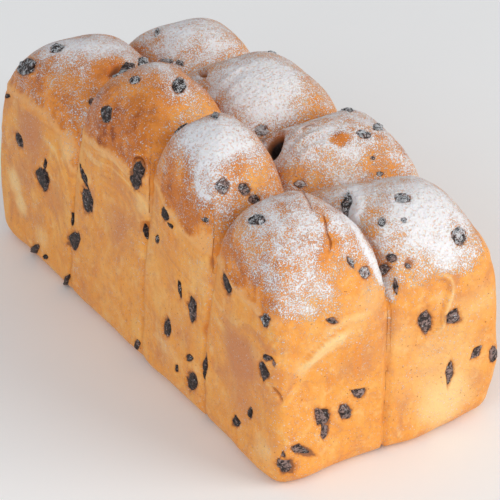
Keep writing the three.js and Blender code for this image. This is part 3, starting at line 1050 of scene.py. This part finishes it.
def make_chips(patches):
    """All chips as one mesh of rough chunks, each lying in its dent."""
    ball_points, ball_faces = sphere_mesh(CHIP_DETAIL)
    angle = np.arctan2(ball_points[:, 1], ball_points[:, 0])
    middle = np.hypot(ball_points[:, 0], ball_points[:, 1])
    dome = np.sign(ball_points[:, 2]) * np.abs(ball_points[:, 2]) ** 0.8
    circle = np.stack([np.cos(angle), np.sin(angle), 0 * angle], 1)
    rng = np.random.default_rng(CHIP_MESH_SEED)
    low, high = CHIP_STANDS
    all_points, all_faces, dust, tone_and_painted_light = [], [], [], []
    for number, patch in enumerate(patches):
        first, second = patch["axes"]
        around = ball_points + rng.uniform(0, 60, 3)
        ring = circle + around[0]
        outline = chip_outline(angle, patch["corners"]) + waves(ring, CHIP_EDGE_WAVES)
        flat = middle ** 0.5 * outline * (1 + 0.06 * noise(around, 0.25, 0))
        rise = dome + waves(around, CHIP_FACE_WAVES)
        stands = low + (high - low) * smooth_step(0.25, 0.75, patch["normal"][2])
        off = rise * CHIP_HALF_THICKNESS - (CHIP_HALF_THICKNESS - stands)
        across, along = flat * np.cos(angle), flat * np.sin(angle)
        all_points.append(patch["place"] + across[:, None] * first + along[:, None] * second
                          + off[:, None] * patch["normal"])
        handed = np.cross(first, second) @ patch["normal"]
        all_faces.append((ball_faces if handed > 0 else ball_faces[:, ::-1]) + number * len(ball_points))
        dust.append(np.full(len(ball_points), patch["sugar"]))
        # Painted light: chips turned to the near end, where the key lamp falls, get a lighter bloom, added to
        # a random tone
        painted_light_share = smooth_step(0.2, 0.8, -patch["normal"][1])
        tone_and_painted_light.append(np.full(len(ball_points), 0.75 * painted_light_share + rng.uniform(0, 0.35)))
    chips = new_mesh("chips", np.concatenate(all_points), np.concatenate(all_faces))
    set_values(chips, {"dust": np.concatenate(dust), "tone_and_painted_light": np.concatenate(tone_and_painted_light)})
    return chips


class Shader:
    """A material being built: methods add nodes and return an output, or lay a colour over the one so far."""

    def __init__(self, name, colour):
        self.material = bpy.data.materials.new(name)
        self.material.use_nodes = True
        self.tree = self.material.node_tree
        self.surface = self.tree.nodes["Principled BSDF"]
        self.colour = colour

    def add(self, kind, inputs=(), **settings):
        """A node; an input that is a name reads the value that the mesh's points have under it."""
        item = self.tree.nodes.new(kind)
        for name, value in settings.items():
            setattr(item, name, value)
        for name, value in dict(inputs).items():
            if isinstance(value, str):
                value = self.add("ShaderNodeAttribute", attribute_name=value).outputs["Fac"]
            if isinstance(value, bpy.types.NodeSocket):
                self.tree.links.new(value, item.inputs[name])
            else:
                item.inputs[name].default_value = value
        return item

    def places(self):
        return self.add("ShaderNodeTexCoord").outputs["Object"]

    def noise(self, length, detail=2.0, distortion=0.0, roughness=0.55, shift=0.0, stretch=(1, 1, 1)):
        """Noise with lumps about a length in millimetres apart, drawn out where stretch is below 1."""
        where = self.add("ShaderNodeMapping", {"Vector": self.places(), "Scale": stretch,
                                               "Location": (shift, shift, shift)}).outputs[0]
        inputs = {"Vector": where, "Scale": 1 / (length * MM), "Detail": detail,
                  "Distortion": distortion, "Roughness": roughness}
        return self.add("ShaderNodeTexNoise", inputs).outputs["Fac"]

    def math(self, operation, a, b=0.0, clamp=False):
        return self.add("ShaderNodeMath", {0: a, 1: b}, operation=operation, use_clamp=clamp).outputs[0]

    def times(self, a, b, clamp=False):
        return self.math("MULTIPLY", a, b, clamp)

    def plus(self, a, b):
        return self.math("ADD", a, b)

    def minus(self, a, b):
        return self.math("SUBTRACT", a, b)

    def ramp(self, value, low, high, start=0.0, end=1.0, smooth=True):
        """Value spread from between low and high to between start and end, clamped."""
        inputs = {"Value": value, "From Min": low, "From Max": high, "To Min": start, "To Max": end}
        kind = "SMOOTHSTEP" if smooth else "LINEAR"
        return self.add("ShaderNodeMapRange", inputs, interpolation_type=kind).outputs["Result"]

    def cover(self, colour, share):
        """Lays a colour over the one so far, by a share from 0 to 1."""
        inputs = {0: share, 6: self.colour, 7: colour}
        self.colour = self.add("ShaderNodeMix", inputs, data_type="RGBA").outputs[2]

    def lay(self, colour, value, low, high, most=1.0, within=None, smooth=True):
        """Lays a colour over the one so far, from none where the value is low to most where it is high."""
        share = self.ramp(value, low, high, end=most, smooth=smooth)
        self.cover(colour, share if within is None else self.times(share, within))

    def finish(self, roughness, bump_height, bump_depth):
        """Joins the colour, the roughness and a bump in millimetres to the surface."""
        inputs = {"Height": bump_height, "Distance": bump_depth * MM, "Strength": 1.0}
        bump = self.add("ShaderNodeBump", inputs).outputs["Normal"]
        for name, value in (("Base Color", self.colour), ("Roughness", roughness), ("Normal", bump)):
            self.tree.links.new(value, self.surface.inputs[name])
        return self.material


# Colours, linear
GOLD = (0.85, 0.345, 0.060, 1)
CREAM = (0.88, 0.47, 0.135, 1)
MILKY = (0.92, 0.60, 0.260, 1)
PEACH = (0.88, 0.45, 0.17, 1)
TAN = (0.62, 0.235, 0.085, 1)
AMBER = (0.81, 0.275, 0.035, 1)
BAKED = (0.60, 0.17, 0.020, 1)
DEEP = (0.30, 0.060, 0.008, 1)
# Dark brown: the chocolate's stain, and also painted shade in the chips' dents and in hollows
STAIN_AND_SHADE = (0.22, 0.085, 0.040, 1)
# Near black: painted shade deep in the pits and in the chips' pockets and splits
SHADE_BLACK = (0.020, 0.010, 0.008, 1)
SUGAR = (0.83, 0.86, 0.90, 1)
CHOCOLATE = (0.022, 0.010, 0.008, 1)
BLOOM = (0.36, 0.24, 0.215, 1)
PALE_FLOOR = (0.95, 0.95, 0.95, 1)
GREY_FLOOR = (0.8, 0.8, 0.8, 1)
DAYLIGHT = (0.93, 0.96, 1.0, 1)
WARM_LIGHT = (1.0, 0.96, 0.90)
COOL_LIGHT = (0.93, 0.97, 1.0)

FLOOR_HALF = 6000
FLOOR_BELOW = 0.2              # so that the floor and the base aren't in one plane

# Lamps and the camera's reach, in metres
LAMP_DISTANCE = 2.2
CAMERA_REACH = 50
ROOM_LIGHT = 0.52


def sugar_grains(shader, amount, film=0.42):
    """Where sugar lies: a thin film, and grains that close up as the amount goes from 0 to 1."""
    fine = shader.ramp(shader.noise(0.55, detail=1), 0.34, 0.66, smooth=False)
    medium = shader.ramp(shader.noise(1.3, detail=2, shift=0.2), 0.34, 0.66, smooth=False)
    both = shader.plus(shader.times(fine, 0.75), shader.times(medium, 0.25))
    grains = shader.ramp(shader.plus(both, shader.minus(amount, 1.0)), -0.03, 0.25, end=0.95)
    return shader.math("MAXIMUM", grains, shader.ramp(amount, 0.4, 1.05, end=film))


def skin_bands(shader):
    """Streaks in the wall that follow the edge of the dome above, and how strong they are."""
    wave = shader.noise(42, detail=1, shift=0.55)
    warped = shader.plus("above", shader.ramp(wave, 0.25, 0.75, -8.0, 8.0))
    place = shader.add("ShaderNodeSeparateXYZ", {0: shader.places()})
    parts = {"X": shader.math("DIVIDE", warped, 5.6),
             "Y": shader.times(place.outputs["Y"], 24.0),
             "Z": shader.times(place.outputs["X"], 24.0)}
    vector = shader.add("ShaderNodeCombineXYZ", parts).outputs[0]
    band = shader.add("ShaderNodeTexNoise", {"Vector": vector, "Scale": 1.0, "Detail": 1.5}).outputs["Fac"]
    fading = shader.ramp("above", -60.0, -12.0, 0.25, 1.0)
    return band, shader.times(fading, shader.ramp("crisp", 0.2, 0.8, 0.25, 1.0))


def colour_wall(shader, swirl, mottle, band, strength):
    """The smooth side of the loaf: gold with paler and deeper swirls."""
    streak = shader.noise(13, detail=4, distortion=1.3, shift=0.3, stretch=(1, 1, 0.4))
    thread = shader.noise(3.2, detail=4, distortion=0.6, shift=0.6, stretch=(1, 1, 0.65))
    for colour, value, low, high, most, within in (
            (CREAM, swirl, 0.50, 0.74, 0.7, None),
            (TAN, swirl, 0.50, 0.32, 0.6, None),
            (AMBER, streak, 0.47, 0.32, 0.6, None),
            (CREAM, streak, 0.56, 0.68, 0.45, None),
            (TAN, band, 0.48, 0.30, 0.5, strength),
            (MILKY, band, 0.56, 0.72, 0.5, strength),
            (TAN, thread, 0.48, 0.34, 0.28, None),
            (MILKY, thread, 0.56, 0.70, 0.25, None),
            (TAN, mottle, 0.45, 0.30, 0.4, None),
            (MILKY, mottle, 0.56, 0.72, 0.35, None),
            # The pale value holds the crust's paler and tan patches, and also the folds' painted highlight
            # and painted shade
            (TAN, "pale", 0.0, -1.0, 1.0, None),
            (MILKY, "pale", 0.0, 1.0, 1.0, None)):
        shader.lay(colour, value, low, high, most, within)


def colour_dome(shader, swirl, mottle):
    """The browned domes, crisp at the sides and soft at the ends, and where they are."""
    above = shader.plus("above", shader.ramp(mottle, 0.3, 0.7, -0.7, 0.7))
    # A peach band along the ridge under the dome's edge on the long walls: paler crust, partly a painted
    # highlight on the ridge
    ridge = shader.times(shader.ramp(above, -4.5, -1.2), "crisp")
    shader.cover(PEACH, shader.times(ridge, 0.6))
    shares = {0: "crisp", 2: shader.ramp(above, -8.0, 22.0, end=0.6), 3: shader.ramp(above, -1.2, 2.2)}
    dome = shader.add("ShaderNodeMix", shares, data_type="FLOAT").outputs[0]
    tones = shader.plus(shader.ramp(mottle, 0.3, 0.7, -0.3, 0.3),
                        shader.ramp(swirl, 0.3, 0.7, -0.25, 0.25))
    patchy = shader.plus("bake", tones)
    shader.lay(AMBER, patchy, 0.0, 0.5, within=dome, smooth=False)
    shader.lay(BAKED, patchy, 0.4, 1.0, within=dome)
    shader.lay(DEEP, patchy, 0.95, 1.6, within=dome)
    return dome


def colour_seams(shader):
    """The lines where balls meet, broken on the long walls: darker along the seam, with a thin dark line of
    painted shade in its crease.
    """
    shader.lay(BAKED, "seam", 0.6, 1.0, 0.3)
    broken = shader.ramp(shader.noise(22, detail=2, shift=0.8), 0.45, 0.65)
    broken = shader.times(broken, shader.ramp("crisp", 0.3, 0.9, 1.0, 0.3))
    # Painted shade: a thin dark line in the seam's crease
    line = shader.times(shader.ramp(shader.math("ABSOLUTE", "seam_side"), 0.5, 0.1, end=0.8), broken)
    shader.cover(DEEP, line)
    return line


def colour_cracks(shader):
    """The browned cracks, and their cores."""
    away = shader.math("ABSOLUTE", "fold")
    crack = shader.times(shader.ramp(away, 1.6, 0.4), "brown", clamp=True)
    shader.cover(BAKED, crack)
    core = shader.times(shader.ramp(away, 0.7, 0.1), "brown", clamp=True)
    shader.cover(DEEP, core)
    return crack, core


def crust_material():
    shader = Shader("crust", GOLD)
    swirl = shader.noise(26, detail=3, distortion=1.6)
    mottle = shader.noise(6, detail=4, distortion=0.6, shift=0.4)
    band, strength = skin_bands(shader)
    colour_wall(shader, swirl, mottle, band, strength)
    dome = colour_dome(shader, swirl, mottle)
    seam_shade_line = colour_seams(shader)
    crack, crack_core = colour_cracks(shader)

    # Stains round the chips, the hollows and the pinholes: the chocolate's stain round chips, partly painted
    # shade in the dent at their edge, and browned hollows, partly painted shade, turning near black as
    # painted shade deep in the pits
    rim = shader.ramp(shader.noise(2.6, detail=3, shift=0.15), 0.3, 0.7, -0.15, 0.15)
    ragged = shader.plus("near_chip", rim)
    pinhole = shader.noise(1.1, detail=0, shift=1.3)
    for colour, value, low, high, most in (
            (BAKED, ragged, 1.5, 0.95, 0.6),
            # partly painted shade: the dark stain at a chip's edge, in its dent
            (STAIN_AND_SHADE, ragged, 1.15, 0.85, 0.85),
            (BAKED, "hollow", 0.0, 0.6, 0.85),
            (STAIN_AND_SHADE, "hollow", 0.4, 1.0, 0.8),
            # painted shade: near black deep in the pits
            (SHADE_BLACK, "hollow", 0.9, 1.5, 1.0),
            (DEEP, pinhole, 0.795, 0.82, 0.6)):
        shader.lay(colour, value, low, high, most)

    # Sugar: grains and film where it lies, and flecks all over, none on chips, in cracks or in pits
    gap = shader.ramp(shader.noise(1.2, detail=2, shift=0.5), 0.55, 0.67, 1.0, 0.62)
    grains = shader.times(sugar_grains(shader, "sugar"), gap)
    dusty = shader.ramp(shader.noise(19, detail=2, shift=1.1), 0.35, 0.65, 0.03, -0.03)
    dusty = shader.plus(dusty, shader.times(dome, 0.028))
    fleck = shader.ramp(shader.plus(shader.noise(0.8, detail=1, shift=0.9), dusty), 0.63, 0.72)
    fleck = shader.times(fleck, shader.ramp(dome, 0.0, 1.0, 0.42, 0.75))
    clear = shader.times(shader.ramp(ragged, 0.9, 1.15), shader.minus(1.0, crack))
    clear = shader.times(clear, shader.ramp("hollow", 0.9, 0.2))
    white = shader.times(shader.math("MAXIMUM", grains, fleck), clear)
    shader.cover(SUGAR, shader.times(white, 0.95))

    rough = shader.ramp(white, 0.0, 1.0, 0.45, 0.9)
    wrinkle = shader.noise(3.2, detail=5, distortion=0.8, shift=0.5)
    grain = shader.noise(0.9, detail=2, shift=0.7)
    height = shader.plus(shader.times(wrinkle, 0.7), shader.times(grain, 0.2))
    heaped = shader.times(white, shader.noise(2.6, detail=2, shift=1.9))
    height = shader.plus(height, shader.times(heaped, 0.9))
    height = shader.plus(height, shader.times(shader.times(band, strength), 1.6))
    height = shader.minus(height, shader.times(crack_core, 1.2))
    height = shader.minus(height, shader.times(seam_shade_line, 0.6))
    for name, value in (("Specular IOR Level", 0.25), ("Subsurface Weight", 0.08),
                        ("Subsurface Radius", (0.004, 0.002, 0.001)), ("Subsurface Scale", 0.5)):
        shader.surface.inputs[name].default_value = value
    return shader.finish(rough, height, 1.0)


def chip_material():
    """Dark chocolate under a grey bloom, with pockets, splits and some sugar; the bloom is lighter on chips
    turned to the key lamp, a painted highlight, and the pockets and splits are near black, painted shade.
    """
    shader = Shader("chocolate", CHOCOLATE)
    crumb = shader.noise(1.5, detail=4, roughness=0.7)
    # The tone is partly random and partly painted light: more bloom, as a painted highlight, on chips turned
    # to the near end
    tone_and_painted_light = shader.ramp("tone_and_painted_light", 0.0, 1.0, -0.06, 0.10)
    shader.lay(BLOOM, shader.plus(crumb, tone_and_painted_light), 0.44, 0.62)
    # Pockets and splits are painted near black: painted shade in the chocolate's crevices
    pocket = shader.noise(2.6, detail=2, shift=0.45)
    shader.lay(SHADE_BLACK, pocket, 0.46, 0.38, 0.9)
    split = shader.minus(shader.noise(3.6, detail=3, shift=0.8), 0.5)
    split = shader.ramp(shader.math("ABSOLUTE", split), 0.035, 0.008)
    shader.cover(SHADE_BLACK, shader.times(split, 0.85))
    lying = shader.noise(2.4, detail=2, shift=1.7)
    lying = shader.ramp(lying, 0.35, 0.65, -0.4, 0.35, smooth=False)
    grains = sugar_grains(shader, shader.plus("dust", lying), film=0.1)
    fleck = shader.ramp(shader.noise(0.8, detail=1, shift=0.3), 0.68, 0.76, end=0.3)
    shader.cover(SUGAR, shader.times(shader.math("MAXIMUM", grains, fleck), 0.8))
    height = shader.plus(crumb, shader.times(shader.noise(0.5, detail=2), 0.25))
    height = shader.minus(height, shader.ramp(pocket, 0.46, 0.38, end=0.4))
    height = shader.minus(height, shader.times(split, 0.5))
    return shader.finish(shader.ramp(crumb, 0.3, 0.7, 0.45, 0.8), height, 1.8)


def make_floor():
    """A wide pale floor below the loaf."""
    corners = np.array([(-1, -1, 0), (1, -1, 0), (1, 1, 0), (-1, 1, 0)], float) * FLOOR_HALF
    floor = new_mesh("floor", corners - (0, 0, FLOOR_BELOW), np.array([[0, 1, 2, 3]]))
    shader = Shader("floor", PALE_FLOOR)
    speck = shader.noise(40, detail=2)
    shader.lay(GREY_FLOOR, speck, 0.3, 0.7, 0.03)
    floor.data.materials.append(shader.finish(shader.ramp(speck, 0, 1, 0.8, 0.85), speck, 0.02))


def add_light(name, direction, size, power, colour):
    """A square lamp that faces the loaf from a direction."""
    lamp = bpy.data.lights.new(name, "AREA")
    lamp.size = size
    lamp.energy = power
    lamp.color = colour
    toward = Vector(direction).normalized()
    obj = put(name, lamp)
    obj.location = Vector(CAMERA_TARGET * MM) + toward * LAMP_DISTANCE
    obj.rotation_euler = toward.to_track_quat("Z", "Y").to_euler()


def make_camera():
    """The camera at the picture's angle."""
    camera = bpy.data.cameras.new("camera")
    camera.sensor_width = SENSOR
    camera.lens = focal / PICTURE * SENSOR
    camera.clip_end = CAMERA_REACH
    obj = put("camera", camera)
    obj.location = Vector(eye * MM)
    obj.rotation_euler = Vector(to_camera).to_track_quat("Z", "Y").to_euler()
    bpy.context.scene.camera = obj


def make_lighting():
    """Two large soft lamps at the near right and the near left, and a pale room."""
    bpy.context.scene.view_settings.view_transform = "Standard"
    world = bpy.data.worlds.new("studio")
    world.use_nodes = True
    background = world.node_tree.nodes["Background"]
    background.inputs["Color"].default_value = DAYLIGHT
    background.inputs["Strength"].default_value = ROOM_LIGHT
    bpy.context.scene.world = world
    add_light("key", (0.56, -0.72, 0.41), 1.5, 30, WARM_LIGHT)
    add_light("fill", (-0.75, -0.50, 0.43), 1.8, 17.5, COOL_LIGHT)


make_camera()
make_lighting()
make_floor()
points, faces, chip_patches, values = make_crust()
crust = new_mesh("crust", points, faces)
set_values(crust, values)
crust.data.materials.append(crust_material())
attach(crust, "root")
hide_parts("loaf")
chips = make_chips(chip_patches)
chips.data.materials.append(chip_material())
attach(chips, "root")
print("crust faces", len(faces), "chips", len(chip_patches))
